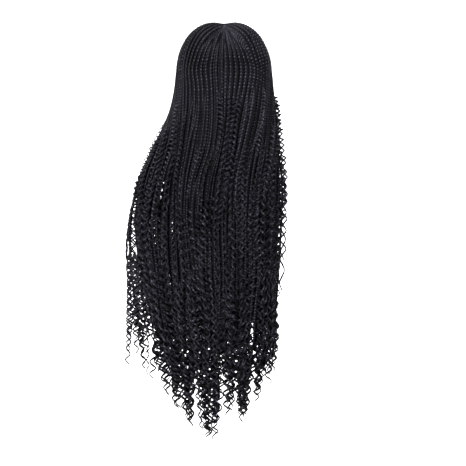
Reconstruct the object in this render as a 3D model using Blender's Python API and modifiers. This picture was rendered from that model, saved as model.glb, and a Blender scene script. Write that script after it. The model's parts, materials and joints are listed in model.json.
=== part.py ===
"""Long braid wig, in the shape that it hangs in when it is worn.

The inside of the cap's crown is the origin, where the wig sits on the head. +Y is where the wearer
looks, +X is the wearer's right and +Z is up. Lengths are in metres. Forty braids leave both sides
of a centre part and cover the cap. Under them lie shorter locks, fused where they are sewn on.
"""

import math
from collections import namedtuple

import bmesh
import bpy
import numpy as np
from mathutils import Vector
from mathutils.bvhtree import BVHTree

MM = 0.001

# Head that the cap fits
HEAD_HALF_WIDTH = 79 * MM
HEAD_HALF_DEPTH = 99 * MM
CROWN_RISE = 95 * MM
NAPE_DROP = 125 * MM
WIDEST = -CROWN_RISE

# Cap and the band inside its edge
CAP_WALL = 1.5 * MM
CAP_SEGMENTS = 36
CAP_RINGS = 8
BAND_HEIGHT = 8 * MM
BAND_BELOW = 1 * MM  # from the cap's edge up to the band's
BAND_WALL = 1 * MM
BAND_GAP = 1.5 * MM
RIM_AZIMUTH = (0, 35, 62, 90, 118, 150, 180)  # degrees round from the face
RIM_DEPTH = (53, 64, 97, 105, 128, 152, 160)  # millimetres below the crown

# Part line, and the rows behind its end. The middle braids fan out from there, each rooted in the
# row that FAN_ROWS gives it. Rows start at these shares of the way down the cap.
PART_FRONT = math.radians(58)
PART_BACK = math.radians(-32)
PART_HALF_GAP = 5.5 * MM
FAN_SHARE = 0.3
FAN_ROWS = (2, 1, 2, 0, 2, 1, 2, 2, 0, 2, 1, 2)
ROW_START = (0.12, 0.3, 0.48)

# Outer braids
BRAIDS_PER_SIDE = 20
BRAID_RADIUS = 4.3 * MM
ROOT_RADIUS = 2.2 * MM
TIP_RADIUS = 0.9 * MM
LEAST_GAP = 0.7 * MM
OUTER_LIFT = 15 * MM
ROOT_SEAT = 0.45 * MM
CHORD_SAG = 1.5 * MM  # how far a straight stretch between two points sinks into the round head
HEAD_STATIONS = (0, 0.12, 0.3, 0.48, 0.66, 0.84, 1)
HANG_STATIONS = tuple(z * MM for z in (-132, -190, -250, -310, -380, -480, -590))
CURL_TOP = -590 * MM
CURL_STEP = 24 * MM
CURL_SWING = 4.5 * MM
TIP_SHARE = (-1, -0.62, -0.3, -0.04, 0.28, 0.54, 0.83, 1)  # share u across the hair
TIP_DEPTH = (664, 762, 784, 800, 758, 764, 714, 686)  # millimetres below the crown
TIP_SCATTER = 13 * MM
TAPER_LENGTH = 90 * MM
DRIFT = 2.4 * MM
DRIFT_LENGTH = 105 * MM
DRIFT_TURN = 0.55  # radians from one braid to the next
DRIFT_TOP = -130 * MM
STRAY_SWING = 18 * MM
STRAY_TOP = -330 * MM
FADE_IN = 125 * MM
SECTION_SIDES = 5

# Locks under the outer braids. A lock's inner face, valleys and ridge lie this far in from the
# veil. It is fused to the next locks from its top down to the first split height.
Locks = namedtuple("Locks", "count face valley ridge fused split")
CAP_ROWS = (0, 0.25, 0.5, 0.75, 1)  # shares of the way from the locks' top to the widest level
UNDER = Locks(
    count=10,
    face=12.7 * MM,
    valley=8.7 * MM,
    ridge=5.9 * MM,
    fused=(-140 * MM, -200 * MM),
    split=(-265 * MM, -330 * MM, -400 * MM, -500 * MM, -620 * MM),
)
NAPE = Locks(
    count=7,
    face=18.6 * MM,
    valley=15.8 * MM,
    ridge=14 * MM,
    fused=(-138 * MM, -156 * MM, -192 * MM),
    split=(-260 * MM, -345 * MM, -440 * MM, -560 * MM),
)
UNDER_REACH = (0.02, 0.985)
NAPE_REACH = 0.36
NAPE_LEAVES_CAP = -165 * MM
UNDER_SHORTER = 14 * MM  # than the outer braids
NAPE_SHORTER = 85 * MM
CAP_SEAT = 1.45 * MM
LOCK_GAP = 0.12  # share of a lock's width
LOCK_NARROWING = 0.3

# The veil is the surface through the middles of the outer braids below the widest level.
# spread is the angle, in degrees, that half of the level's arc turns through.
Level = namedtuple("Level", "z left_x right_x left_y right_y back_y spread")
FULL_SPREAD = 112
OUTER_HALF_WIDTH = HEAD_HALF_WIDTH + OUTER_LIFT
OUTER_HALF_DEPTH = HEAD_HALF_DEPTH + OUTER_LIFT
HEAD_EDGE_X = OUTER_HALF_WIDTH / MM * math.sin(math.radians(FULL_SPREAD))
HEAD_EDGE_Y = -OUTER_HALF_DEPTH / MM * math.cos(math.radians(FULL_SPREAD))
VEIL = (
    Level(WIDEST / MM, -HEAD_EDGE_X, HEAD_EDGE_X, HEAD_EDGE_Y, HEAD_EDGE_Y, -114, FULL_SPREAD),
    Level(-150, -98, 96, 8, 8, -119, 103),
    Level(-210, -121, 106, -32, -30, -125, 89),
    Level(-270, -147, 112, -66, -64, -132, 76),
    Level(-340, -174, 115, -86, -90, -138, 66),
    Level(-420, -173, 115, -93, -99, -141, 60),
    Level(-520, -161, 110, -96, -101, -138, 60),
    Level(-620, -144, 100, -98, -102, -134, 60),
    Level(-720, -126, 88, -102, -104, -132, 60),
    Level(-830, -98, 66, -106, -108, -132, 60),
)

HAIR_COLOUR = (0.012, 0.012, 0.014, 1)
CAP_COLOUR = (0.02, 0.018, 0.018, 1)


def smooth_step(value):
    value = np.clip(value, 0, 1)
    return value * value * (3 - 2 * value)


def smooth_between(at, places, values):
    """The cubic curve through (places, values), read at one place. places ascend."""
    places, values = np.asarray(places, float), np.asarray(values, float)
    slopes = np.gradient(values, places)
    i = int(np.clip(np.searchsorted(places, at) - 1, 0, len(places) - 2))
    step = places[i + 1] - places[i]
    t = (at - places[i]) / step
    start = (1 + 2 * t) * (1 - t) ** 2 * values[i] + t * (1 - t) ** 2 * step * slopes[i]
    end = t * t * (3 - 2 * t) * values[i + 1] + t * t * (t - 1) * step * slopes[i + 1]
    return start + end


def unit(vector):
    return vector / np.linalg.norm(vector)


def head_point(direction, lift):
    """Point over the head in a direction from its middle, lift above the inside of the cap."""
    rise = CROWN_RISE if direction[2] > 0 else NAPE_DROP
    half = np.array((HEAD_HALF_WIDTH, HEAD_HALF_DEPTH, rise)) + lift
    return half * direction + (0, 0, WIDEST)


def rim_angle(azimuth):
    """Angle from the crown down to the cap's edge, at an azimuth from the face."""
    depth = smooth_between(abs(math.degrees(azimuth)), RIM_AZIMUTH, RIM_DEPTH) * MM
    below = -depth - WIDEST
    return math.acos(below / (CROWN_RISE if below > 0 else NAPE_DROP))


def polar_direction(polar, azimuth):
    side, front = math.sin(azimuth), math.cos(azimuth)
    return np.array((math.sin(polar) * side, math.sin(polar) * front, math.cos(polar)))


def veil_section(z):
    """Points along the veil at one height, and the share of the way along of each, -1 to 1."""
    heights = [level.z for level in reversed(VEIL)]
    row = {
        name: smooth_between(z / MM, heights, [getattr(level, name) for level in reversed(VEIL)])
        for name in Level._fields[1:]
    }
    spread = math.radians(row["spread"])
    turn = np.linspace(-1, 1, 121) * spread
    middle = (row["left_x"] + row["right_x"]) / 2
    half = (row["right_x"] - row["left_x"]) / 2
    edge_y = np.where(turn < 0, row["left_y"], row["right_y"])
    x = middle + half * np.sin(turn) / math.sin(spread)
    y = row["back_y"] + (edge_y - row["back_y"]) * (1 - np.cos(turn)) / (1 - math.cos(spread))
    points = np.column_stack((x, y)) * MM
    lengths = np.concatenate(([0], np.cumsum(np.linalg.norm(np.diff(points, axis=0), axis=1))))
    return points, lengths / lengths[-1] * 2 - 1


def veil_point(u, z, inward=0.0):
    """Point at share u of the veil, -1 at the left temple and 1 at the right one."""
    points, shares = veil_section(z)
    ends = [[np.interp(u + d, shares, points[:, i]) for i in (0, 1)] for d in (-0.02, 0, 0.02)]
    along = unit(np.subtract(ends[2], ends[0]))
    x, y = ends[1] + inward * np.array((-along[1], along[0]))
    return np.array((x, y, z))


def root_direction(u):
    """Where share u of the hair leaves the part line, as a direction from the head's middle."""
    along = np.clip((abs(u) - FAN_SHARE) / (1 - FAN_SHARE), 0, 1)
    tilt = PART_BACK + along * (PART_FRONT - PART_BACK)
    aside = np.clip(u / FAN_SHARE, -1, 1) * PART_HALF_GAP / HEAD_HALF_WIDTH
    return np.array(
        (math.sin(aside), math.sin(tilt) * math.cos(aside), math.cos(tilt) * math.cos(aside))
    )


def flow_direction(u, t):
    """Direction at share t of the way from the part line, 0, to the widest level, 1."""
    x, y, _ = veil_point(u, WIDEST)
    start = root_direction(u)
    end = unit(np.array((x / OUTER_HALF_WIDTH, y / OUTER_HALF_DEPTH, 0)))
    turn = math.acos(np.clip(start @ end, -1, 1))
    return (math.sin((1 - t) * turn) * start + math.sin(t * turn) * end) / math.sin(turn)


def covered_from(u):
    """Share of the way down the cap where the under layer starts: lower at the back."""
    return 0.52 + 0.38 * (1 - smooth_step((abs(u) - 0.2) / 0.3))


def outer_lift(u, t, start):
    """Height of an outer braid's middle over the head: low at its root, high over the locks."""
    root_lift = CAP_WALL + CHORD_SAG + ROOT_RADIUS
    full_at = covered_from(u) - 0.04
    rise = smooth_step(t / full_at) * (smooth_step((t - start) / 0.2) if start else 1)
    return root_lift + (OUTER_LIFT - root_lift) * rise


def scatter(index):
    """A fixed value from -1 to 1 for each index, with no pattern to the eye."""
    return math.sin(index * 12.9898 + 4.1) * 0.6 + math.sin(index * 3.7) * 0.4


def curl_wave(z):
    """Zigzag of the loose ends, -1 to 1 from one CURL_STEP to the next."""
    turns = (CURL_TOP - z) / CURL_STEP
    if turns < 1:
        return max(turns, 0)
    past = (turns - 1) % 2
    return 1 - 2 * min(past, 2 - past)


def hang_shift(index, z):
    """Sideways shift of a hanging braid. Neighbours shift nearly alike, so that none touch."""
    drift = DRIFT * math.sin(z / DRIFT_LENGTH + DRIFT_TURN * index)
    shift = drift * smooth_step((DRIFT_TOP - z) / FADE_IN)
    if index == 0:
        shift -= STRAY_SWING * smooth_step((STRAY_TOP - z) / FADE_IN)
    return shift + CURL_SWING * curl_wave(z)


def braid_start(index):
    """Share of the way down the cap where a braid is rooted."""
    fan_first = BRAIDS_PER_SIDE - len(FAN_ROWS) // 2
    place = index - fan_first
    return ROW_START[FAN_ROWS[place]] if 0 <= place < len(FAN_ROWS) else 0


def tip_height(u, index):
    return TIP_SCATTER * scatter(index) - smooth_between(u, TIP_SHARE, TIP_DEPTH) * MM


def braid_path(index):
    """Points along the middle of an outer braid, from its root to its tip."""
    u = (index + 0.5) / BRAIDS_PER_SIDE - 1
    start = braid_start(index)
    path = [
        head_point(flow_direction(u, t), outer_lift(u, t, start))
        for t in HEAD_STATIONS
        if t >= start
    ]
    tip = tip_height(u, index)
    steps = int((CURL_TOP - tip) / CURL_STEP - 0.1)
    curl = [CURL_TOP - CURL_STEP * n for n in range(1, steps + 1)]
    heights = (*HANG_STATIONS, *curl, tip)
    path += [veil_point(u, z) + (hang_shift(index, z), 0, 0) for z in heights]
    return np.array(path)


def seat_on_cap(point, cap_faces):
    """The point moved straight in towards the head, to where a root rests on the cap."""
    middle = Vector((0, 0, WIDEST))
    outward = (Vector(point) - middle).normalized()
    found = cap_faces.ray_cast(middle + outward * HEAD_HALF_DEPTH * 2, -outward)[0]
    return found + outward * (ROOT_RADIUS + ROOT_SEAT)


def distance_to_path(point, path):
    starts, spans = path[:-1], np.diff(path, axis=0)
    shares = np.sum((point - starts) * spans, axis=1) / np.sum(spans**2, axis=1)
    nearest = starts + np.clip(shares, 0, 1)[:, None] * spans
    return np.linalg.norm(nearest - point, axis=1).min()


def braid_radii(paths, index):
    """Radius of a braid at each of its points: full, less where a neighbour is near."""
    path = paths[index]
    neighbours = paths[max(index - 3, 0) : index] + paths[index + 1 : index + 4]
    radii = []
    for point in path:
        near = min(distance_to_path(point, other) for other in neighbours)
        radius = min(BRAID_RADIUS, (near - LEAST_GAP) / 2)
        left = (point[2] - path[-1][2]) / TAPER_LENGTH
        radii.append(TIP_RADIUS + (radius - TIP_RADIUS) * math.sqrt(np.clip(left, 0, 1)))
    radii[0] = min(radii[0], ROOT_RADIUS)
    return radii


def section_profile():
    """The five-sided section that every braid is swept with, of radius 1."""
    curve = bpy.data.curves.new("braid_section", "CURVE")
    spline = curve.splines.new("POLY")
    spline.points.add(SECTION_SIDES - 1)
    for n, point in enumerate(spline.points):
        angle = 2 * math.pi * n / SECTION_SIDES
        point.co = (math.cos(angle), -math.sin(angle), 0, 1)
    spline.use_cyclic_u = True
    profile = bpy.data.objects.new("braid_section", curve)
    profile.hide_render = True
    profile.display_type = "WIRE"
    return profile


def add_braid(name, points, radii, profile, material, collection):
    curve = bpy.data.curves.new(name, "CURVE")
    curve.dimensions = "3D"
    curve.bevel_mode = "OBJECT"
    curve.bevel_object = profile
    curve.use_fill_caps = True
    spline = curve.splines.new("POLY")
    spline.points.add(len(points) - 1)
    for spot, place, radius in zip(spline.points, points, radii):
        spot.co = (*place, 1)
        spot.radius = radius
    curve.materials.append(material)
    collection.objects.link(bpy.data.objects.new(name, curve))


def add_mesh_object(name, mesh, material, collection):
    mesh.materials.append(material)
    made = bpy.data.objects.new(name, mesh)
    collection.objects.link(made)
    return made


def build_cap(material, collection):
    """Half a sphere, drawn down to the edge's height all round, with a wall outside it."""
    shell = bmesh.new()
    bmesh.ops.create_uvsphere(
        shell, u_segments=CAP_SEGMENTS, v_segments=2 * CAP_RINGS, radius=1
    )
    below = [vertex for vertex in shell.verts if vertex.co.z < -MM]
    bmesh.ops.delete(shell, geom=below, context="VERTS")
    for vertex in shell.verts:
        azimuth = math.atan2(vertex.co.x, vertex.co.y)
        share = math.acos(min(1, max(-1, vertex.co.z))) / (math.pi / 2)
        direction = polar_direction(share * rim_angle(azimuth), azimuth)
        vertex.co = head_point(direction, 0)
    mesh = bpy.data.meshes.new("cap")
    shell.to_mesh(mesh)
    shell.free()
    mesh.shade_smooth()
    cap = add_mesh_object("cap", mesh, material, collection)
    wall = cap.modifiers.new("wall", "SOLIDIFY")
    wall.thickness = CAP_WALL
    wall.offset = 1
    wall.use_even_offset = True
    return cap


def build_band(material, collection):
    """Elastic band just inside the cap's edge, all the way round."""
    ring = bmesh.new()
    bmesh.ops.create_cone(
        ring, cap_ends=False, segments=CAP_SEGMENTS, radius1=1, radius2=1, depth=2
    )
    for vertex in ring.verts:
        azimuth = math.atan2(vertex.co.x, vertex.co.y)
        above = BAND_BELOW + (BAND_HEIGHT if vertex.co.z > 0 else 0)
        polar = rim_angle(azimuth) - above / HEAD_HALF_DEPTH
        vertex.co = head_point(polar_direction(polar, azimuth), -BAND_GAP)
    mesh = bpy.data.meshes.new("edge_band")
    ring.to_mesh(mesh)
    ring.free()
    mesh.shade_smooth()
    band = add_mesh_object("edge_band", mesh, material, collection)
    wall = band.modifiers.new("wall", "SOLIDIFY")
    wall.thickness = BAND_WALL
    wall.offset = -1


def under_place(u, station, inward):
    """Point of the under layer. Stations from 0 up are shares of the cap, the others heights."""
    if station < 0:
        return veil_point(u, station, inward)
    t = covered_from(u) + (1 - covered_from(u)) * station
    seated = inward == UNDER.face
    return head_point(flow_direction(u, t), CAP_WALL + CAP_SEAT if seated else OUTER_LIFT - inward)


def nape_place(u, station, inward):
    """Point of the nape layer. It stands on the cap until it is past the cap's edge."""
    if station < NAPE_LEAVES_CAP:
        return veil_point(u, station, inward)
    x, y, _ = veil_point(u, station)
    sink = (station - WIDEST) / NAPE_DROP
    level = unit(np.array((x / OUTER_HALF_WIDTH, y / OUTER_HALF_DEPTH))) * math.sqrt(1 - sink**2)
    return head_point(np.array((*level, sink)), CAP_WALL + CAP_SEAT + NAPE.face - inward)


def build_locks(name, layer, edges, stations, place, tips, material, collection):
    """A row of locks, fused side by side at the stations and apart at the layer's split heights.

    edges are the shares u at the locks' sides, place the function that puts a point of the layer,
    and tips the height of each tip.
    """
    locks = bmesh.new()
    middles = [(a + b) / 2 for a, b in zip(edges, edges[1:])]

    def vertex(u, station, inward):
        return locks.verts.new(place(u, station, inward))

    def join(upper, lower, sides):
        for a, b in sides:
            locks.faces.new((upper[a], upper[b], lower[b], lower[a]))

    def section(left, right, station):
        shares = (left, left, (left + right) / 2, right, right)
        depths = (layer.face, layer.valley, layer.ridge, layer.valley, layer.face)
        return [vertex(u, station, depth) for u, depth in zip(shares, depths)]

    def fused_row(station):
        sides = [[vertex(u, station, depth) for depth in (layer.face, layer.valley)] for u in edges]
        tops = [vertex(u, station, layer.ridge) for u in middles]
        return [(*a, top, *reversed(b)) for a, top, b in zip(sides, tops, sides[1:])]

    rows = [fused_row(station) for station in stations]
    around = [(0, 1), (1, 2), (2, 3), (3, 4), (4, 0)]
    for n, middle in enumerate(middles):
        inner_sides = [pair for pair in around if pair not in ((0, 1), (3, 4))]
        if n == 0:
            inner_sides.append((0, 1))
        if n == len(middles) - 1:
            inner_sides.append((3, 4))
        locks.faces.new(reversed(rows[0][n]))
        for upper, lower in zip(rows, rows[1:]):
            join(upper[n], lower[n], inner_sides)
        ring = rows[-1][n]
        for count, height in enumerate(layer.split, 1):
            share = 1 - LOCK_GAP - LOCK_NARROWING * count / len(layer.split)
            reach = share * (edges[n + 1] - edges[n]) / 2
            lower = section(middle - reach, middle + reach, height)
            join(ring, lower, around)
            ring = lower
        tip = vertex(middle, tips[n], (layer.face + layer.ridge) / 2)
        for a, b in around:
            locks.faces.new((ring[a], ring[b], tip))
    bmesh.ops.recalc_face_normals(locks, faces=locks.faces)
    mesh = bpy.data.meshes.new(name)
    locks.to_mesh(mesh)
    locks.free()
    add_mesh_object(name, mesh, material, collection)


def build_under_layer(material, collection):
    stations = (*CAP_ROWS, *UNDER.fused)
    for side, name in ((-1, "under_braids_left"), (1, "under_braids_right")):
        edges = sorted(side * u for u in np.linspace(*UNDER_REACH, UNDER.count + 1))
        tips = [tip_height(u, n) + UNDER_SHORTER for n, u in enumerate(edges[:-1])]
        build_locks(name, UNDER, edges, stations, under_place, tips, material, collection)


def build_nape_layer(material, collection):
    edges = list(np.linspace(-NAPE_REACH, NAPE_REACH, NAPE.count + 1))
    tips = [tip_height(u, n) + NAPE_SHORTER for n, u in enumerate(edges[:-1])]
    build_locks("nape_braids", NAPE, edges, NAPE.fused, nape_place, tips, material, collection)


def build_outer_braids(cap, material, collection, helpers):
    profile = section_profile()
    helpers.objects.link(profile)
    count = 2 * BRAIDS_PER_SIDE
    paths = [braid_path(index) for index in range(count)]
    cap_faces = BVHTree.FromObject(cap, bpy.context.evaluated_depsgraph_get())
    for path in paths:
        path[0] = seat_on_cap(path[0], cap_faces)
    for index, path in enumerate(paths):
        from_face = min(index, count - 1 - index) + 1
        side = "left" if index < BRAIDS_PER_SIDE else "right"
        radii = braid_radii(paths, index)
        name = f"braid_{side}_{from_face:02d}"
        add_braid(name, path, radii, profile, material, collection)


def surface(name, colour, roughness):
    material = bpy.data.materials.new(name)
    material.use_nodes = True
    shader = material.node_tree.nodes["Principled BSDF"]
    shader.inputs["Base Color"].default_value = colour
    shader.inputs["Roughness"].default_value = roughness
    shader.inputs["Metallic"].default_value = 0
    return material


def clear_scene():
    for thing in list(bpy.data.objects):
        bpy.data.objects.remove(thing)


def main():
    clear_scene()
    wig = bpy.data.collections.new("braid_wig")
    helpers = bpy.data.collections.new("helpers")
    for collection in (wig, helpers):
        bpy.context.scene.collection.children.link(collection)
    hair = surface("black_hair", HAIR_COLOUR, 0.42)
    net = surface("cap_net", CAP_COLOUR, 0.8)
    elastic = surface("elastic", CAP_COLOUR, 0.7)
    cap = build_cap(net, wig)
    build_band(elastic, wig)
    build_under_layer(hair, wig)
    build_nape_layer(hair, wig)
    build_outer_braids(cap, hair, wig, helpers)


main()
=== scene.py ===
import json
import math
import bpy
import numpy as np
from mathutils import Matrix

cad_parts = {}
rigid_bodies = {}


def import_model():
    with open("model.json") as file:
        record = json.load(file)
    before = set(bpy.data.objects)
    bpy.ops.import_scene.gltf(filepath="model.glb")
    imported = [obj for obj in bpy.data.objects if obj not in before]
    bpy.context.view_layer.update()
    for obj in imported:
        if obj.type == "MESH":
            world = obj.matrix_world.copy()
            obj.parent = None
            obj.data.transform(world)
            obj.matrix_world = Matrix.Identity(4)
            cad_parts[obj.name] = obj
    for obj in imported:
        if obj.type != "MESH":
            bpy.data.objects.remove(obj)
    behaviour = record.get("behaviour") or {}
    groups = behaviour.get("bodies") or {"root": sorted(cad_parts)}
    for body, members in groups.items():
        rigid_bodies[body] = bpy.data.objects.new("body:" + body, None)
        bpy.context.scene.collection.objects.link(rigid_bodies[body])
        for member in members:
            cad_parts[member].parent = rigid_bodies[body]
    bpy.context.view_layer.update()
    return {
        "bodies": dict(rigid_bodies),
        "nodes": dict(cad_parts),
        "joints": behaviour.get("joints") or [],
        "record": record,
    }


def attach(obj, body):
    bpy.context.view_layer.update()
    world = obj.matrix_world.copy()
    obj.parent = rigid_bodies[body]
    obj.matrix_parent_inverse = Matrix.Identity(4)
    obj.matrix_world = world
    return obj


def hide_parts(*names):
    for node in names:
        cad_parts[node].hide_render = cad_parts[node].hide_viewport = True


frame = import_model()
bpy.ops.object.select_all(action="DESELECT")
rng = np.random.default_rng(36)
mm = 0.001

# Camera and stage. Distances are in metres, and the wig hangs with its cap at the origin.

view = {
    "distance": 2.85,  # from the middle of the head
    "middle": (18 * mm, -414 * mm),  # x and z of the picture's middle
    "fieldWidth": 932 * mm,  # at the head
    "sensor": 36,
}

stageSet = {
    "floorLevel": -1.05,
    "halfWidth": 4,
    "front": -1.6,
    "back": 6,
    "bend": 1.6,
    "height": 7,
}

lamps = {
    "keyLight": {"place": (-1.0, -1.5, 2.1), "aim": (0, -0.1, -0.4), "size": 0.5, "watts": 330},
    "fillLight": {"place": (1.9, -2.3, 0.5), "aim": (0, -0.1, -0.45), "size": 1.0, "watts": 95},
    "leftWallLight": {"place": (-2.4, 3.9, 1.3), "aim": (-0.2, 5.9, -0.3), "size": 1.5, "watts": 130},
    "rightWallLight": {"place": (2.4, 3.9, 1.3), "aim": (0.2, 5.9, -0.3), "size": 1.5, "watts": 130},
}


def addCamera():
    data = bpy.data.cameras.new("photoCamera")
    data.sensor_width = view["sensor"]
    data.lens = view["sensor"] * view["distance"] / view["fieldWidth"]
    data.clip_end = 50
    camera = bpy.data.objects.new("photoCamera", data)
    camera.location = (view["middle"][0], -view["distance"], view["middle"][1])
    camera.rotation_euler = (math.radians(90), 0, 0)
    bpy.context.collection.objects.link(camera)
    bpy.context.scene.camera = camera


def addLamp(name, place, aim, size, watts):
    data = bpy.data.lights.new(name, "AREA")
    data.size = size
    data.energy = watts
    lamp = bpy.data.objects.new(name, data)
    lamp.location = place
    away = np.subtract(place, aim)
    lamp.rotation_euler = (
        math.acos(away[2] / np.linalg.norm(away)),
        0,
        math.atan2(away[0], -away[1]),
    )
    bpy.context.collection.objects.link(lamp)


def addWorld():
    world = bpy.data.worlds.new("paleRoom")
    world.use_nodes = True
    back = world.node_tree.nodes["Background"]
    back.inputs["Color"].default_value = (1, 1, 1, 1)
    back.inputs["Strength"].default_value = 0.9
    bpy.context.scene.world = world
    bpy.context.scene.view_settings.view_transform = "Standard"


# Shader maths

class Wire:
    # a node's output, on which +, - and * add Math nodes
    def __init__(self, maker, socket):
        self.maker = maker
        self.socket = socket

    def combine(self, operation, first, second):
        return self.maker.node("ShaderNodeMath", {"operation": operation}, {0: first, 1: second})

    def __add__(self, other):
        return self.combine("ADD", self, other)

    __radd__ = __add__

    def __rsub__(self, other):
        return self.combine("SUBTRACT", other, self)

    def __mul__(self, other):
        return self.combine("MULTIPLY", self, other)


class Maker:
    # makes a material and its nodes
    def __init__(self, name, roughness, specular):
        self.material = bpy.data.materials.new(name)
        self.material.use_nodes = True
        self.tree = self.material.node_tree
        self.shader = self.tree.nodes["Principled BSDF"]
        self.shader.inputs["Roughness"].default_value = roughness
        self.shader.inputs["Specular IOR Level"].default_value = specular

    def node(self, kind, settings, inputs, output=0):
        made = self.tree.nodes.new(kind)
        for name, value in settings.items():
            setattr(made, name, value)
        for name, value in inputs.items():
            self.feed(made.inputs[name], value)
        return Wire(self, made.outputs[output])

    def feed(self, socket, value):
        if isinstance(value, Wire):
            self.tree.links.new(value.socket, socket)
        else:
            socket.default_value = value

    def mix(self, share, first, second):
        mixed = self.tree.nodes.new("ShaderNodeMix")
        mixed.data_type = "RGBA"
        colours = [socket for socket in mixed.inputs if socket.type == "RGBA"]
        self.feed(mixed.inputs[0], share)
        self.feed(colours[0], first)
        self.feed(colours[1], second)
        return Wire(self, [socket for socket in mixed.outputs if socket.type == "RGBA"][0])

    def finish(self, **sockets):
        for name, value in sockets.items():
            self.feed(self.shader.inputs[name.replace("_", " ")], value)
        return self.material


fibre = {
    # dark is the black of the hair and also the painted shade deep in the plaits; light is the lighter
    # fibre tone and also the painted highlight on the raised parts
    "dark": (0.0006, 0.0006, 0.0009),
    "light": (0.092, 0.092, 0.122),
    "across": 26,  # fibres round one strand
    "along": 60,  # changes a metre along one strand
    "slow": (2, 14),  # the same for the bands, which change slowly
    "weights": (0.55, 0.25, 0.35),  # of the fibres, the strand's own tone and the bands
    "range": (0.35, 0.85),  # their sum, from dark to light
    "paintedLight": (0.6, 1.0),  # the painted light begins and is full this far out of the plait
    "paintedShadeShare": 0.03,  # share of the light colour left in the painted shade deep in the plait
    "gloss": (-0.08, 0.18),  # roughness added everywhere, and by the bands
    "lift": 0.25 * mm,
}


def hairMaterial(name, roughness, specular, paintedBrightness, depth):
    maker = Maker(name, roughness, specular)
    place = maker.node("ShaderNodeUVMap", {"uv_map": "strand"}, {})
    split = maker.node("ShaderNodeSeparateXYZ", {}, {0: place})
    around = Wire(maker, split.socket.node.outputs[0])
    along = Wire(maker, split.socket.node.outputs[1])
    number = maker.node("ShaderNodeMath", {"operation": "FLOOR"}, {0: around})
    tone = maker.node("ShaderNodeTexWhiteNoise", {"noise_dimensions": "1D"}, {"W": number})
    spot = maker.node(
        "ShaderNodeCombineXYZ",
        {},
        {0: around * fibre["across"], 1: along * fibre["along"], 2: number * 3.7},
    )
    fibres = maker.node("ShaderNodeTexNoise", {}, {"Vector": spot, "Scale": 1, "Detail": 3})
    slow = maker.node(
        "ShaderNodeCombineXYZ",
        {},
        {0: around * fibre["slow"][0], 1: along * fibre["slow"][1], 2: number * 1.3},
    )
    bands = maker.node("ShaderNodeTexNoise", {}, {"Vector": slow, "Scale": 1, "Detail": 1})
    # painted light and shade: the front attribute gives the raised parts of each strand a painted
    # highlight and leaves the grooves in painted shade
    front = maker.node("ShaderNodeAttribute", {"attribute_name": "front"}, {}, 2)
    paintedLight = maker.node(
        "ShaderNodeMapRange",
        {"interpolation_type": "SMOOTHSTEP"},
        {"Value": front, "From Min": fibre["paintedLight"][0], "From Max": fibre["paintedLight"][1]},
    )
    ofFibres, ofTone, ofBands = fibre["weights"]
    share = maker.node(
        "ShaderNodeMapRange",
        {},
        {
            "Value": fibres * ofFibres + tone * ofTone + bands * ofBands,
            "From Min": fibre["range"][0],
            "From Max": fibre["range"][1],
        },
    ) * (fibre["paintedShadeShare"] + paintedLight * (1 - fibre["paintedShadeShare"]))
    # paintedBrightness makes lit and shaded copies of the one hair colour
    dark = tuple(c * paintedBrightness for c in fibre["dark"]) + (1,)
    light = tuple(c * paintedBrightness for c in fibre["light"]) + (1,)
    colour = maker.mix(share, dark, light)
    bump = maker.node(
        "ShaderNodeBump", {}, {"Strength": depth, "Distance": fibre["lift"], "Height": fibres}
    )
    rough = roughness + fibre["gloss"][0] + bands * fibre["gloss"][1]
    return maker.finish(Base_Color=colour, Roughness=rough, Normal=bump)


net = {
    "cell": 1.7 * mm,
    "thread": 0.022,  # greys
    "hole": 0.006,
    "edge": (0.05, 0.2),  # where a thread ends, as a share of its cell
    "fuzz": 2200,  # a metre
    "lift": 0.4 * mm,
}


def netMaterial():
    maker = Maker("capNet", 0.75, 0.25)
    place = maker.node("ShaderNodeTexCoord", {}, {}, 3)
    cells = maker.node(
        "ShaderNodeTexVoronoi",
        {"feature": "DISTANCE_TO_EDGE"},
        {"Vector": place, "Scale": 1 / net["cell"], "Randomness": 0.35},
    )
    low, high = net["edge"]
    thread = maker.node(
        "ShaderNodeMapRange",
        {},
        {"Value": cells, "From Min": low, "From Max": high, "To Min": 1, "To Max": 0},
    )
    fuzz = maker.node("ShaderNodeTexNoise", {}, {"Vector": place, "Scale": net["fuzz"], "Detail": 2})
    hole = (net["hole"],) * 3 + (1,)
    line = (net["thread"],) * 3 + (1,)
    bump = maker.node(
        "ShaderNodeBump",
        {},
        {"Strength": 0.7, "Distance": net["lift"], "Height": thread + fuzz * 0.3},
    )
    return maker.finish(
        Base_Color=maker.mix(thread * (0.7 + fuzz * 0.5), hole, line),
        Roughness=0.9 - thread * 0.2,
        Normal=bump,
    )


elastic = {
    "rib": 1.1 * mm,
    "knit": 1500,  # a metre
    "lift": 0.3 * mm,
    "dark": (0.008, 0.008, 0.009, 1),
    "light": (0.03, 0.03, 0.032, 1),
}


def elasticMaterial():
    maker = Maker("edgeElastic", 0.7, 0.25)
    place = maker.node("ShaderNodeTexCoord", {}, {}, 3)
    split = maker.node("ShaderNodeSeparateXYZ", {}, {0: place})
    height = Wire(maker, split.socket.node.outputs[2])
    turn = height * (math.tau / elastic["rib"])
    ribs = maker.node("ShaderNodeMath", {"operation": "SINE"}, {0: turn})
    knit = maker.node("ShaderNodeTexNoise", {}, {"Vector": place, "Scale": elastic["knit"], "Detail": 2})
    bump = maker.node(
        "ShaderNodeBump",
        {},
        {"Strength": 0.6, "Distance": elastic["lift"], "Height": ribs * 0.5 + knit},
    )
    colour = maker.mix(knit, elastic["dark"], elastic["light"])
    return maker.finish(Base_Color=colour, Roughness=0.62 + knit * 0.2, Normal=bump)


def stageMaterial():
    maker = Maker("paleFloor", 0.9, 0.1)
    place = maker.node("ShaderNodeTexCoord", {}, {}, 3)
    grain = maker.node("ShaderNodeTexNoise", {}, {"Vector": place, "Scale": 3, "Detail": 2})
    colour = maker.mix(grain, (0.93, 0.93, 0.93, 1), (0.95, 0.95, 0.95, 1))
    return maker.finish(Base_Color=colour)


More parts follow.
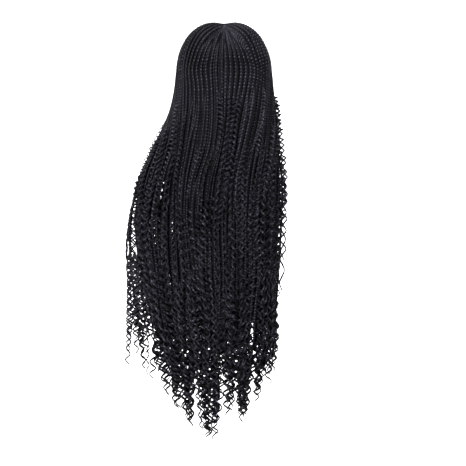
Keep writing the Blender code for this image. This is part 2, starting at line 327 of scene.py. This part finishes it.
def addStage():
    # floor that bends up into a back wall
    bpy.ops.mesh.primitive_plane_add(size=1)
    floor = bpy.context.object
    floor.name = "paleFloor"
    mesh = floor.data
    turns = [math.radians(a) for a in range(0, 91, 10)]
    bend = stageSet["bend"]
    profile = [(stageSet["front"], 0)]
    profile += [(stageSet["back"] - bend + bend * math.sin(a), bend - bend * math.cos(a)) for a in turns]
    profile.append((stageSet["back"], stageSet["height"]))
    mesh.clear_geometry()
    points, faces = [], []
    for n, (y, rise) in enumerate(profile):
        for side in (-1, 1):
            points.append((side * stageSet["halfWidth"], y, stageSet["floorLevel"] + rise))
        if n:
            faces.append((2 * n - 2, 2 * n - 1, 2 * n + 1, 2 * n))
    mesh.from_pydata(points, [], faces)
    mesh.shade_smooth()
    mesh.materials.append(stageMaterial())


# Paths along the hair, read from the CAD braids

braidNodes = {"sides": 5, "perSide": 20, "curlTop": -590 * mm}


def unitRows(rows):
    return rows / np.maximum(np.linalg.norm(rows, axis=-1, keepdims=True), 1e-9)


def lengthsAlong(points):
    return np.concatenate(([0], np.cumsum(np.linalg.norm(np.diff(points, axis=0), axis=1))))


def readAlong(points, at):
    # smooth curve through the points, read at lengths along it
    lengths = lengthsAlong(points)
    slopes = np.gradient(points, lengths, axis=0)
    i = np.clip(np.searchsorted(lengths, at, side="right") - 1, 0, len(points) - 2)
    span = (lengths[i + 1] - lengths[i])[:, None]
    t = (at - lengths[i])[:, None] / span
    start = (1 + 2 * t) * (1 - t) ** 2 * points[i] + t * (1 - t) ** 2 * span * slopes[i]
    end = t * t * (3 - 2 * t) * points[i + 1] + t * t * (t - 1) * span * slopes[i + 1]
    return start + end


def readRings(node):
    # rings of a CAD braid from root to tip, found by walking its edges up from the tip
    mesh = frame["nodes"][node].data
    loose = np.array([vertex.co for vertex in mesh.vertices])
    points, same = np.unique(loose.round(6), axis=0, return_inverse=True)
    same = same.reshape(-1)
    near = [set() for point in points]
    for edge in mesh.edges:
        a, b = same[edge.vertices[0]], same[edge.vertices[1]]
        near[a].add(b)
        near[b].add(a)
    ring = set(np.argsort(points[:, 2])[: braidNodes["sides"]])
    seen, rings = set(), []
    while ring:
        rings.append(points[sorted(ring)])
        seen |= ring
        ring = set().union(*(near[point] for point in ring)) - seen
    rings.reverse()
    centres = np.array([ring.mean(axis=0) for ring in rings])
    radii = [np.linalg.norm(ring - centre, axis=1).mean() for ring, centre in zip(rings, centres)]
    return centres, np.array(radii)


def withoutZigzag(points):
    # the loose ends swing from side to side in CAD, and their middle line is wanted here
    calm = points.copy()
    for n in range(1, len(points)):
        if points[n, 2] < braidNodes["curlTop"] - 1 * mm:
            after = points[min(n + 1, len(points) - 1)]
            calm[n, :2] = (points[n - 1, :2] + 2 * points[n, :2] + after[:2]) / 4
    return calm


def nodeNames():
    count = braidNodes["perSide"]
    left = [f"braid_left_{n:02d}" for n in range(1, count + 1)]
    right = [f"braid_right_{n:02d}" for n in range(count, 0, -1)]
    return left + right


hub = {"level": -95 * mm, "neck": 30 * mm}  # what the hair faces away from


def outwardFrom(points):
    below = points[:, 2:3] < hub["level"]
    middle = np.where(below, points * (0, 0, 1) + (0, hub["neck"], 0), (0, 0, hub["level"]))
    return unitRows(points - middle)


def framesAlong(points):
    along = unitRows(np.gradient(points, axis=0))
    out = outwardFrom(points)
    out = unitRows(out - along * np.sum(out * along, axis=1, keepdims=True))
    return along, out, np.cross(along, out)


# Strands

# painted sheen: a painted highlight on the raised parts of each strand, brighter on one side of each
# plait
paintedSheen = {
    "sideEdge": 8,  # the higher, the narrower the painted light at a plait's sides
    "turned": 0.9,  # painted brightness of a side turned away, and the least of it
    "least": 0.62,
}


class Strands:
    # gathers thin closed tubes, and makes one mesh of them with a map along each and the painted light
    # and shade of each point
    def __init__(self):
        self.points = []
        self.corners = []
        self.sizes = []
        self.maps = []
        self.paintedLightAndShade = []
        self.pointCount = 0
        self.tubeCount = 0

    def add(self, centres, facing, radii, sides, flat, frame, reach, inner=1.0):
        # front tells how far each point stands out of its plait or coil, from 0 to 1; the hair material
        # paints it as a painted highlight on the raised parts and painted shade in the grooves between
        # strands
        middle, out, across = frame
        along = unitRows(np.gradient(centres, axis=0))
        up = unitRows(facing - along * np.sum(facing * along, axis=1, keepdims=True))
        aside = np.cross(along, up)
        turn = math.pi + np.arange(sides) * math.tau / sides
        rim = np.cos(turn)[None, :, None] * up[:, None, :] * flat
        rim = rim + np.sin(turn)[None, :, None] * aside[:, None, :]
        ring = centres[:, None, :] + radii[:, None, None] * rim
        self.points.append(ring.reshape(-1, 3))
        arm = ring - middle[:, None, :]
        rise = np.sum(arm * out[:, None, :], axis=2) / reach[0][:, None]
        rise = np.where(rise > 0, rise, -rise * inner)
        side = np.sum(arm * across[:, None, :], axis=2) / reach[1][:, None]
        # the painted sheen is brightest on the side turned to the middle of the back, and dimmer on the
        # other side
        side = side * np.where(middle[:, :1] < 0, -1, 1)
        edge = abs(side) * paintedSheen["sideEdge"] - (paintedSheen["sideEdge"] - 1)
        front = np.clip(np.maximum(rise, edge), 0, 1)
        self.paintedLightAndShade.append((front * np.clip(paintedSheen["turned"] + side, paintedSheen["least"], 1)).reshape(-1))
        row = np.arange(len(centres) - 1)[:, None] * sides
        j = np.arange(sides)[None, :]
        k = (j + 1) % sides
        quads = np.stack((row + j, row + k, row + sides + k, row + sides + j), axis=-1)
        quads = quads.reshape(-1, 4) + self.pointCount
        last = (len(centres) - 1) * sides
        ends = np.concatenate((np.arange(sides)[::-1], last + np.arange(sides))) + self.pointCount
        self.corners.append(np.concatenate((quads.reshape(-1), ends)))
        self.sizes.append(np.concatenate((np.full(len(quads), 4), [sides, sides])))
        lengths = lengthsAlong(centres)
        low, high = lengths[:-1, None], lengths[1:, None]
        u0 = np.broadcast_to(j / sides, (len(centres) - 1, sides))
        u1 = np.broadcast_to((j + 1) / sides, u0.shape)
        v0, v1 = np.broadcast_to(low, u0.shape), np.broadcast_to(high, u0.shape)
        walls = [np.stack(pair, -1) for pair in ((u0, v0), (u1, v0), (u1, v1), (u0, v1))]
        walls = np.stack(walls, axis=2).reshape(-1, 2)
        caps = np.column_stack((np.full(2 * sides, 0.5), np.repeat((0, lengths[-1]), sides)))
        shift = np.array((self.tubeCount + 0.0, 0.0))
        self.maps.append(np.concatenate((walls, caps)) * (0.98, 1) + (0.01, 0) + shift)
        self.pointCount += len(centres) * sides
        self.tubeCount += 1

    def triangles(self):
        return int(sum((sizes - 2).sum() for sizes in self.sizes))

    def make(self, name, material):
        points = np.concatenate(self.points)
        corners = np.concatenate(self.corners)
        sizes = np.concatenate(self.sizes)
        starts = np.concatenate(([0], np.cumsum(sizes)[:-1]))
        mesh = bpy.data.meshes.new(name)
        mesh.vertices.add(len(points))
        mesh.vertices.foreach_set("co", points.astype(np.float32).reshape(-1))
        mesh.loops.add(len(corners))
        mesh.loops.foreach_set("vertex_index", corners.astype(np.int32))
        mesh.polygons.add(len(sizes))
        mesh.polygons.foreach_set("loop_start", starts.astype(np.int32))
        mesh.update(calc_edges=True)
        layer = mesh.uv_layers.new(name="strand")
        layer.uv.foreach_set("vector", np.concatenate(self.maps).astype(np.float32).reshape(-1))
        # the painted light and shade, which the hair material reads
        front = mesh.attributes.new("front", "FLOAT", "POINT")
        front.data.foreach_set("value", np.concatenate(self.paintedLightAndShade).astype(np.float32))
        mesh.shade_smooth()
        mesh.materials.append(material)
        piece = bpy.data.objects.new(name, mesh)
        bpy.context.collection.objects.link(piece)
        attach(piece, "root")
        return piece


plait = {
    "period": 20 * mm,  # one strand's whole way across and back, at full width
    "fullRadius": 3.9 * mm,
    "rings": 6,  # a period; one ring falls on each strand's highest point
    "swing": 0.58,  # shares of the plait's radius
    "depth": 0.38,
    "strand": 0.47,
    "flat": 0.86,
    "leastPeriod": 0.72,  # share, where the plait is thin
    "alignLevel": -200 * mm,  # neighbours are in step here
    "startTurn": 1 / 8,
    "tilt": 0.35,  # slow turning of the plait to and fro
    "tiltWave": (60 * mm, 110 * mm),
    "reach": (0.78, 1.04),  # height and half width of a plait, for the painted sheen
}


def turnsAlong(points, pitch):
    # lengths along a path and the turns made there, for a pitch that changes
    lengths = lengthsAlong(points)
    fine = np.linspace(0, lengths[-1], 400)
    turns = np.concatenate(([0], np.cumsum(np.diff(fine) / pitch(fine)[1:])))
    return fine, turns


def addPlait(strands, points, radii, sides, scale=1.0):
    lengths = lengthsAlong(points)
    rings = plait["rings"]

    def pitch(at):
        share = np.interp(at, lengths, radii) / plait["fullRadius"]
        return plait["period"] * scale * np.clip(share, plait["leastPeriod"], 1.0)

    fine, turns = turnsAlong(points, pitch)
    aligned = np.interp(lengthAtHeight(points, plait["alignLevel"]), fine, turns) * rings
    at = np.interp(np.arange(aligned % 1, turns[-1] * rings) / rings, turns, fine)
    centres = readAlong(points, at)
    radius = np.interp(at, lengths, radii)[:, None]
    outOfStep = rng.integers(rings) == 0  # one plait in six
    turn = math.tau * ((np.arange(len(at)) - int(aligned) + outOfStep) / rings + plait["startTurn"])
    out, aside = framesAlong(centres)[1:]
    wave = at / rng.uniform(*plait["tiltWave"]) + rng.uniform(0, math.tau)
    tilt = (plait["tilt"] * np.sin(wave))[:, None]
    out, aside = out * np.cos(tilt) + aside * np.sin(tilt), aside * np.cos(tilt) - out * np.sin(tilt)
    for n in range(3):
        phase = (turn + n * math.tau / 3)[:, None]
        shift = aside * np.sin(phase) * plait["swing"] + out * np.sin(2 * phase) * plait["depth"]
        thick = (radius * plait["strand"])[:, 0]
        strand = centres + shift * radius
        reach = [radius[:, 0] * share for share in plait["reach"]]
        strands.add(strand, out, thick, sides, plait["flat"], (centres, out, aside), reach)


curl = {
    "pitchTop": 9 * mm,
    "pitchLow": 21 * mm,
    "levels": (-620 * mm, -180 * mm),
    "flat": 0.8,
    "tip": 0.8 * mm,
    "taper": 28 * mm,
    "paintedSheenReach": 1.12,  # above 1 the painted sheen stays on the outermost fibres
    "paintedSheenInside": 0.75,  # share of the painted sheen on the side turned to the head
    "swellRoot": ((0, 25 * mm), (0.08, 1)),  # the coil opens from its root
    "swellTip": ((0, 15 * mm), (0.6, 1)),  # and closes a little at its tip
    "wobble": (0.22, 19 * mm),  # uneven width
    "slow": (0.5, 31 * mm),  # uneven turning
    "leastRings": 6,
}


def addCurl(strands, points, reach, thick, phase, hand, rings=9, sides=4, stretch=1.0):
    lengths = lengthsAlong(points)
    levels = readAlong(points, np.linspace(0, lengths[-1], 40))[:, 2]

    def pitch(at):
        level = np.interp(at, np.linspace(0, lengths[-1], 40), levels)
        return np.interp(level, curl["levels"], (curl["pitchLow"], curl["pitchTop"])) * stretch

    fine, turns = turnsAlong(points, pitch)
    at = np.interp(np.arange(0, turns[-1], 1 / rings), turns, fine)
    if len(at) < curl["leastRings"]:
        return
    centres = readAlong(points, at)
    out, aside = framesAlong(centres)[1:]
    left = lengths[-1] - at
    slow = curl["slow"][0] * np.sin(at / curl["slow"][1] + phase * 5)
    turn = hand * math.tau * np.arange(len(at)) / rings + phase + slow
    swell = np.interp(at, *curl["swellRoot"]) * np.interp(left, *curl["swellTip"])
    wobble = 1 + curl["wobble"][0] * np.sin(at / curl["wobble"][1] + phase * 3)
    width = (reach * swell * wobble)[:, None]
    facing = out * np.cos(turn)[:, None] + aside * np.sin(turn)[:, None]
    taper = np.sqrt(np.clip(left / curl["taper"], 0, 1))
    radii = curl["tip"] + (thick - curl["tip"]) * taper
    size = (width[:, 0] + radii) * curl["paintedSheenReach"]
    coil = centres + facing * width
    around = (centres, out, aside)
    strands.add(coil, facing, radii, sides, curl["flat"], around, (size, size), curl["paintedSheenInside"])


def cutPath(points, start, end, step=14 * mm):
    at = np.linspace(start, end, max(4, int((end - start) / step)))
    return readAlong(points, at), at


def lengthAtHeight(points, height):
    return float(np.interp(-height, -points[:, 2], lengthsAlong(points)))


drift = {
    "shared": 2.4 * mm,
    "own": 0.7 * mm,
    "ownWave": (25 * mm, 60 * mm),
    "outward": 0.4,  # share of the drift away from the head
    "fade": 130 * mm,
    "perBraid": 0.42,
}


def drifted(points, number, share=1.0):
    # neighbours drift together, with a little of their own, so that they don't lie like ruled lines
    out, aside = framesAlong(points)[1:]
    z = points[:, 2]
    fade = np.clip((hub["level"] - z) / drift["fade"], 0, 1)[:, None]
    turn = number * drift["perBraid"]
    shared = np.sin(z / (62 * mm) + turn) + 0.5 * np.sin(z / (29 * mm) - turn * 1.7)
    deep = np.sin(z / (48 * mm) + turn * 2.3 + 1)
    own = [np.sin(z / rng.uniform(*drift["ownWave"]) + rng.uniform(0, math.tau)) for n in (0, 1)]
    sideways = shared * drift["shared"] + own[0] * drift["own"]
    outwards = deep * drift["shared"] * drift["outward"] + own[1] * drift["own"]
    return points + fade * share * (aside * sideways[:, None] + out * outwards[:, None])


looseEnd = {
    "reach": (4.4 * mm, 6.4 * mm),
    "thick": (1.8 * mm, 2.5 * mm),
    "spread": 5 * mm,
    "shorten": (0.1, 0.5),  # share cut off the strands that don't reach the tip
    "stretch": (0.9, 1.2),
    "apart": (0.5, 2.1),  # turn between one strand and the next
    "overlap": 18 * mm,  # with the plait
    "deep": (-0.5, 0.8),  # shares of the spread
}


clumps = {
    # x, towards the tips
    "centres": np.array((-150, -112, -88, -72, -28, -14, 9, 36, 66, 95)) * mm,
    "levels": (-790 * mm, -630 * mm),
    "draw": 0.6,
}


def drawnTogether(points):
    # the loose ends gather in separate locks
    nearest = clumps["centres"][np.argmin(abs(clumps["centres"] - points[-1, 0]))]
    share = np.interp(points[:, 2], clumps["levels"], (clumps["draw"], 0))
    drawn = points.copy()
    drawn[:, 0] += (nearest - points[:, 0]) * share
    return drawn


def addLooseEnd(strands, path, start, number, tips=1):
    # the unplaited end of a braid: strands curled side by side, some of them to the very tip
    finish = lengthsAlong(path)[-1]
    phase = rng.uniform(0, math.tau)
    hand = rng.choice((-1, 1))
    apart = rng.uniform(*looseEnd["apart"])
    stretch = rng.uniform(*looseEnd["stretch"])
    for k in range(number):
        first = max(start - looseEnd["overlap"], 0)
        cut = rng.uniform(*looseEnd["shorten"]) if k >= tips else 0
        last = first + (finish - first) * (1 - cut)
        axis = cutPath(path, first, last, 12 * mm)[0]
        out, aside = framesAlong(axis)[1:]
        grow = np.linspace(0, 1, len(axis))[:, None]
        side = rng.uniform(-1, 1) * looseEnd["spread"]
        deep = rng.uniform(*looseEnd["deep"]) * looseEnd["spread"]
        axis = drawnTogether(axis + (aside * side + out * deep) * grow)
        thick = rng.uniform(*looseEnd["thick"])
        reach = rng.uniform(*looseEnd["reach"])
        addCurl(strands, axis, reach, thick, phase + apart * k, hand, stretch=stretch)


# The outer braids

outer = {
    "plaitEnd": (-655 * mm, -500 * mm),
    "slim": 0.92,  # the plait inside its CAD solid
    "thin": (60 * mm, 0.62),  # it thins over this length, to this share, at its end
    "endStrands": 3,
    "capLift": 3.0 * mm,
    "thinRoot": 1.8 * mm,
    "tuck": 0.5,  # of the first span, drawn on towards the part
    "fan": 6,  # braids each side of the middle that are drawn up to the part's end
    "fanSpread": 5 * mm,
    "headHalf": (79 * mm, 99 * mm, 95 * mm),
    "edgeLevels": (-330 * mm, -260 * mm, -150 * mm, -118 * mm),  # where the rope needs room beside it
    "edgePull": (1.2 * mm, 2.4 * mm, 4.2 * mm),  # inward, of the last three braids
}


def headDirection(point):
    return unitRows(((point - (0, 0, hub["level"])) / outer["headHalf"])[None, :])[0]


def rootedOnPart(centres, radii, target):
    # draws a braid of the fan on up to the part's end, thin and close to the cap
    start, end = headDirection(target), headDirection(centres[0])
    turn = math.acos(min(1, float(start @ end)))
    shares = np.linspace(0, 1, max(3, int(turn / 0.12)))[:-1]
    added = []
    for t in shares:
        direction = (math.sin((1 - t) * turn) * start + math.sin(t * turn) * end) / math.sin(turn)
        added.append(direction * (np.array(outer["headHalf"]) + outer["capLift"]) + (0, 0, hub["level"]))
    thin = outer["thinRoot"] + (radii[0] - outer["thinRoot"]) * shares
    return np.concatenate((added, centres)), np.concatenate((thin, radii))


def rootedPaths():
    # every outer braid's middle line and radii, from its knot on the cap to its tip
    read = [readRings(name) for name in nodeNames()]
    middle = len(read) // 2
    fanEnd = (read[middle - outer["fan"] - 1][0][0] + read[middle + outer["fan"]][0][0]) / 2
    rooted = []
    for n, (centres, radii) in enumerate(read):
        centres = withoutZigzag(centres)
        place = n - len(read) + len(outer["edgePull"])
        if place >= 0:
            near = np.interp(centres[:, 2], outer["edgeLevels"], (0, 1, 1, 0))
            centres[:, 0] -= near * outer["edgePull"][place]
        if middle - outer["fan"] <= n < middle + outer["fan"]:
            spread = (n - middle + 0.5) / outer["fan"]
            target = fanEnd + (spread * outer["fanSpread"], 0, 0)
            rooted.append(rootedOnPart(centres, radii, target))
        else:
            tuck = centres[0] - (centres[1] - centres[0]) * outer["tuck"]
            thin = np.concatenate(([outer["thinRoot"]], radii))
            rooted.append((np.concatenate(([tuck], centres)), thin))
    return rooted


def buildOuterBraids(rooted, materials):
    total = 0
    for number, (name, (centres, radii)) in enumerate(zip(nodeNames(), rooted)):
        path = drifted(centres, number)
        stop = lengthAtHeight(path, rng.uniform(*outer["plaitEnd"]))
        strands = Strands()
        plaited, at = cutPath(path, 0, stop, 9 * mm)
        thick = np.interp(at, lengthsAlong(path), radii)
        over, share = outer["thin"]
        thick *= np.interp(at, (stop - over, stop), (1, share)) * outer["slim"]
        addPlait(strands, plaited, thick, 5)
        addLooseEnd(strands, path, stop, outer["endStrands"])
        piece = strands.make(f"plait_{name[6:]}", materials["braid"])
        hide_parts(name)
        total += strands.triangles()
    return total


# The layers under them

class Curtain:
    # the surface through the outer braids' middles, by braid number and height
    def __init__(self, rooted):
        self.heights = np.arange(-96, -815, -6) * mm
        self.head, columns = [], []
        for centres, radii in rooted:
            lengths = lengthsAlong(centres)
            fine = readAlong(centres, np.linspace(0, lengths[-1], 500))
            low = fine[fine[:, 2] <= hub["level"] + 1 * mm]
            columns.append([np.interp(-self.heights, -low[:, 2], low[:, i]) for i in (0, 1)])
            knee = lengthAtHeight(centres, hub["level"])
            self.head.append(readAlong(centres, np.linspace(0, knee, 14)))
        self.columns = np.array(columns)
        self.head = np.array(self.head)
        self.tips = np.array([centres[-1, 2] for centres, radii in rooted])

    def between(self, values, number):
        low = int(np.clip(math.floor(number), 0, len(values) - 2))
        share = min(max(number - low, 0), 1)
        return values[low] * (1 - share) + values[low + 1] * share

    def at(self, number, heights):
        row = self.between(self.columns, number)
        sides = [np.interp(-heights, -self.heights, row[i]) for i in (0, 1)]
        return np.column_stack((*sides, heights))

    def slanting(self, numbers, heights):
        return np.concatenate([self.at(n, np.array([z])) for n, z in zip(numbers, heights)])

    def whole(self, number, shorter, step=22 * mm):
        tip = self.between(self.tips, number) + shorter
        heights = np.append(np.arange(hub["level"] - step, tip, -step), tip)
        return np.concatenate((self.between(self.head, number), self.at(number, heights)))


def movedInward(points, depth):
    return points - framesAlong(points)[1] * np.reshape(depth, (-1, 1))


under = {
    "inward": ((0, 0.6 * mm), (60 * mm, 2.8 * mm), (260 * mm, 3.2 * mm), (420 * mm, 4.8 * mm)),
    "rootFade": 70 * mm,
    "radius": 3.7 * mm,
    "roots": (0.45, 1.1),  # share of the radius at the root, and the same beside the fan
    "inFront": 0.4,  # share of the braids that come forward between the outer ones
    "forward": 9 * mm,
    "comesOut": (150 * mm, 420 * mm),  # along the braid
    "staysOut": (120 * mm, 260 * mm),
    "end": (-560 * mm, -300 * mm),
    "shorter": 14 * mm,
    "extra": (13.15, 13.35, 13.75, 25.25, 25.75),  # fill the gaps beside the fan
    "backing": (1, 39),  # first and last of the braids with a coarse plait behind them
    "backingInward": 10 * mm,
    "backingRadius": 6.5 * mm,
    "backingEnd": (-640 * mm, -590 * mm),
    "backingScale": 2.2,
}


def buildUnderLayer(name, node, curtain, numbers, backing, materials):
    strands = Strands()
    for number in numbers:
        path = curtain.whole(number, under["shorter"])
        lengths = lengthsAlong(path)
        depth = np.interp(lengths, *zip(*under["inward"]))
        if rng.random() < under["inFront"]:
            begin = rng.uniform(*under["comesOut"])
            span = rng.uniform(*under["staysOut"])
            front = np.interp(abs(lengths - begin - span / 2), (span / 2 - 40 * mm, span / 2), (1, 0))
            depth = depth - under["forward"] * front
        path = drifted(movedInward(path, depth), number)
        stop = lengthAtHeight(path, rng.uniform(*under["end"]))
        plaited, at = cutPath(path, 0, stop, 12 * mm)
        root = under["roots"][int(number in under["extra"])]
        thick = np.interp(at, (0, 50 * mm, stop - 60 * mm, stop), (root, 1, 1, 0.6)) * under["radius"]
        addPlait(strands, plaited, thick, 4)
        addLooseEnd(strands, path, stop, 2, 0)
    for number in backing:
        path = curtain.whole(number, under["shorter"])
        lengths = lengthsAlong(path)
        depth = np.interp(lengths, (0, under["rootFade"]), (2 * mm, under["backingInward"]))
        path = drifted(movedInward(path, depth), number)
        stop = lengthAtHeight(path, rng.uniform(*under["backingEnd"]))
        plaited, at = cutPath(path, 40 * mm, stop, 14 * mm)
        thick = np.interp(at, (40 * mm, 90 * mm, stop - 80 * mm, stop), (0.4, 1, 1, 0.5))
        addPlait(strands, plaited, thick * under["backingRadius"], 4, under["backingScale"])
    piece = strands.make(name, materials["under"])
    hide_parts(node)
    return strands.triangles()


nape = {
    "count": 9,
    "numbers": (12.5, 26.5),
    "inwardTop": 20 * mm,
    "inward": 14 * mm,
    "levels": (-192 * mm, -140 * mm),
    "radius": 3.2 * mm,
    "top": -140 * mm,
    "shorter": 85 * mm,
    "end": (-540 * mm, -470 * mm),
    "scale": 1.25,
}


def buildNapeLayer(curtain, materials):
    strands = Strands()
    for number in np.linspace(*nape["numbers"], nape["count"]):
        tip = curtain.between(curtain.tips, number) + nape["shorter"]
        heights = np.arange(nape["top"], tip, -22 * mm)
        depth = np.interp(heights, nape["levels"], (nape["inward"], nape["inwardTop"]))
        path = drifted(movedInward(curtain.at(number, heights), depth), number)
        stop = lengthAtHeight(path, rng.uniform(*nape["end"]))
        plaited, at = cutPath(path, 0, stop, 12 * mm)
        thick = np.interp(at, (0, 25 * mm, stop - 60 * mm, stop), (0.5, 1, 1, 0.6)) * nape["radius"]
        addPlait(strands, plaited, thick, 4, nape["scale"])
        addLooseEnd(strands, path, stop, 3, 0)
    piece = strands.make("nape_plaits", materials["under"])
    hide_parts("nape_braids")
    return strands.triangles()


# Loose curls among the braids

loose = {
    "count": 100,
    "pair": 1,  # how many hang together
    "pairDrop": 2.5 * mm,
    "start": (-120 * mm, -560 * mm),
    "length": (120 * mm, 330 * mm),
    "leastLength": 70 * mm,
    "lift": (3 * mm, 7 * mm),
    "slide": 1.6,  # braids crossed, at most
    "reach": (2.4 * mm, 3.8 * mm),
    "thick": (1.3 * mm, 1.9 * mm),
    "stretch": (0.8, 1.25),
    "apart": (0.4, 1.4),  # turn between the curls of a pair
    "pieces": 3,
}

edgeLooks = {  # reach and radius of the curls, how many hang together, turn between them, stretch
    "outer": (1.6 * mm, 2.0 * mm, 2, 3.1, 1.3),
    "inner": (4.2 * mm, 1.7 * mm, 2, 2.2, 1.1),
    "rope": (4.8 * mm, 2.0 * mm, 2, 3.1, 2.5),
    "upper": (3.6 * mm, 1.8 * mm, 3, 2.1, 1.55),
    "lock": (5.0 * mm, 2.0 * mm, 3, 2.1, 1.05),
}

edgeStrands = {  # x and z in millimetres of the strands that hang clear of the edges
    "right_rope": (
        (95, -124), (104, -150), (110, -197), (114, -245), (116, -290), (116, -340), (116, -400),
        (115, -460), (112, -530),
    ),
    "left_upper": (
        (-88, -130), (-96, -150), (-104, -180), (-117, -208), (-128, -236), (-141, -268), (-157, -305),
        (-170, -340),
    ),
    "left_outer": ((-150, -300), (-166, -335), (-177, -365), (-184, -400), (-188, -440), (-187, -490)),
    "left_lock": ((-182, -450), (-183, -490), (-182, -540), (-181, -580), (-183, -630), (-185, -672)),
    "left_inner": ((-150, -320), (-163, -360), (-172, -400), (-175, -440), (-176, -480)),
    "third_lock": (
        (-160, -400), (-163, -450), (-163, -500), (-161, -540), (-156, -580), (-150, -620), (-146, -650),
    ),
    "fourth_lock": ((-148, -380), (-152, -430), (-152, -480), (-151, -530), (-149, -570), (-146, -610)),
    "inside_lock": ((-172, -450), (-173, -490), (-171, -540), (-169, -580), (-168, -625), (-166, -650)),
}


def looseCurl(strands, curtain, number, top, length):
    last = len(curtain.tips) - 1
    bottom = max(top - length, curtain.between(curtain.tips, number) + 5 * mm)
    if top - bottom < loose["leastLength"]:
        return
    heights = np.arange(top, bottom, -16 * mm)
    slide = rng.uniform(-1, 1) * loose["slide"]
    across = np.clip(number + slide * np.linspace(0, 1, len(heights)), 0, last)
    lift = rng.uniform(*loose["lift"])
    rise = np.interp(np.arange(len(heights)), (0, 2), (-0.3, 1))
    path = movedInward(curtain.slanting(across, heights), -lift * rise)
    path = drifted(path, number, 1.3)
    phase = rng.uniform(0, math.tau)
    hand = rng.choice((-1, 1))
    reach = rng.uniform(*loose["reach"])
    stretch = rng.uniform(*loose["stretch"])
    apart = rng.uniform(*loose["apart"])
    for k in range(loose["pair"]):
        thick = rng.uniform(*loose["thick"])
        axis = path + (0, 0, -k * loose["pairDrop"])
        addCurl(strands, axis, reach * (1 - 0.15 * k), thick, phase + apart * k, hand, 8, 4, stretch)


def buildLooseCurls(curtain, materials):
    total = 0
    last = len(curtain.tips) - 1
    spots = np.linspace(0, last, loose["count"]) + rng.uniform(-0.4, 0.4, loose["count"])
    spots = np.clip(spots, 0, last)
    high, low = loose["start"]
    for n, group in enumerate(np.array_split(spots, loose["pieces"])):
        strands = Strands()
        for number in group:
            top = high + (low - high) * rng.random()
            looseCurl(strands, curtain, number, top, rng.uniform(*loose["length"]))
        strands.make(f"loose_curls_{n + 1}", materials["curl"])
        total += strands.triangles()
    return total


def buildEdgeStrands(curtain, materials):
    strands = Strands()
    last = len(curtain.tips) - 1
    for name, marks in edgeStrands.items():
        marks = np.array(marks) * mm
        number = last if name.startswith("right") else 0
        edge = curtain.at(number, marks[:, 1])
        path = np.column_stack((marks[:, 0], edge[:, 1] - 4 * mm, marks[:, 1]))
        path = drifted(path, number, 0.6)
        phase = rng.uniform(0, math.tau)
        reach, thick, together, apart, stretch = edgeLooks[name.split("_")[1]]
        for k in range(together):
            axis = cutPath(path, 0, lengthsAlong(path)[-1] * (1 - 0.13 * k), 12 * mm)[0]
            addCurl(strands, axis, reach, thick, phase + apart * k, 1, 9, 5, stretch)
    strands.make("edge_strands", materials["curl"])
    return strands.triangles()


# The cap and its band

def smoothCopy(node, name, material, levels):
    # the CAD shell, merged, turned back into quads and subdivided
    source = frame["nodes"][node]
    piece = bpy.data.objects.new(name, source.data.copy())
    bpy.context.collection.objects.link(piece)
    bpy.ops.object.select_all(action="DESELECT")
    bpy.context.view_layer.objects.active = piece
    piece.select_set(True)
    bpy.ops.object.mode_set(mode="EDIT")
    bpy.ops.mesh.select_all(action="SELECT")
    bpy.ops.mesh.remove_doubles(threshold=0.01 * mm)
    bpy.ops.mesh.tris_convert_to_quads(face_threshold=math.radians(60), shape_threshold=math.radians(80))
    bpy.ops.object.mode_set(mode="OBJECT")
    rounding = piece.modifiers.new("rounding", "SUBSURF")
    rounding.levels = levels
    rounding.render_levels = levels
    bpy.ops.object.modifier_apply(modifier="rounding")
    piece.data.shade_smooth()
    piece.data.materials.clear()
    piece.data.materials.append(material)
    piece.select_set(False)
    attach(piece, "root")
    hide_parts(node)


hairLooks = {  # roughness, specular level, painted brightness (curls lighter for painted highlights, under plaits darker as painted shade), strength of the bump
    "braid": ("braidHair", 0.4, 0.03, 1.0, 0.5),
    "curl": ("curlHair", 0.36, 0.05, 3.0, 0.4),
    "under": ("underHair", 0.42, 0.03, 0.9, 0.4),
}

addCamera()
addWorld()
addStage()
for name, settings in lamps.items():
    addLamp(name, **settings)
print("camera, stage and lamps are in place")

materials = {word: hairMaterial(*looks) for word, looks in hairLooks.items()}
rooted = rootedPaths()
curtain = Curtain(rooted)
half = len(rooted) // 2
numbers = np.concatenate((np.arange(2 * half - 1) + 0.5, under["extra"]))
backing = np.arange(under["backing"][0], under["backing"][1] + 1)
counts = {"outer plaits": buildOuterBraids(rooted, materials)}
for side, first, last in (("left", 0, half), ("right", half, 2 * half)):
    counts[f"{side} under plaits"] = buildUnderLayer(
        f"under_plaits_{side}",
        f"under_braids_{side}",
        curtain,
        numbers[(numbers >= first) & (numbers < last)],
        backing[(backing >= first) & (backing < last)],
        materials,
    )
counts.update({
    "nape plaits": buildNapeLayer(curtain, materials),
    "loose curls": buildLooseCurls(curtain, materials),
    "edge strands": buildEdgeStrands(curtain, materials),
})
for word, number in counts.items():
    print(word, number, "triangles")
print("hair in all", sum(counts.values()), "triangles")
smoothCopy("cap", "netCap", netMaterial(), 2)
smoothCopy("edge_band", "elasticBand", elasticMaterial(), 1)
print("cap and band are finished")
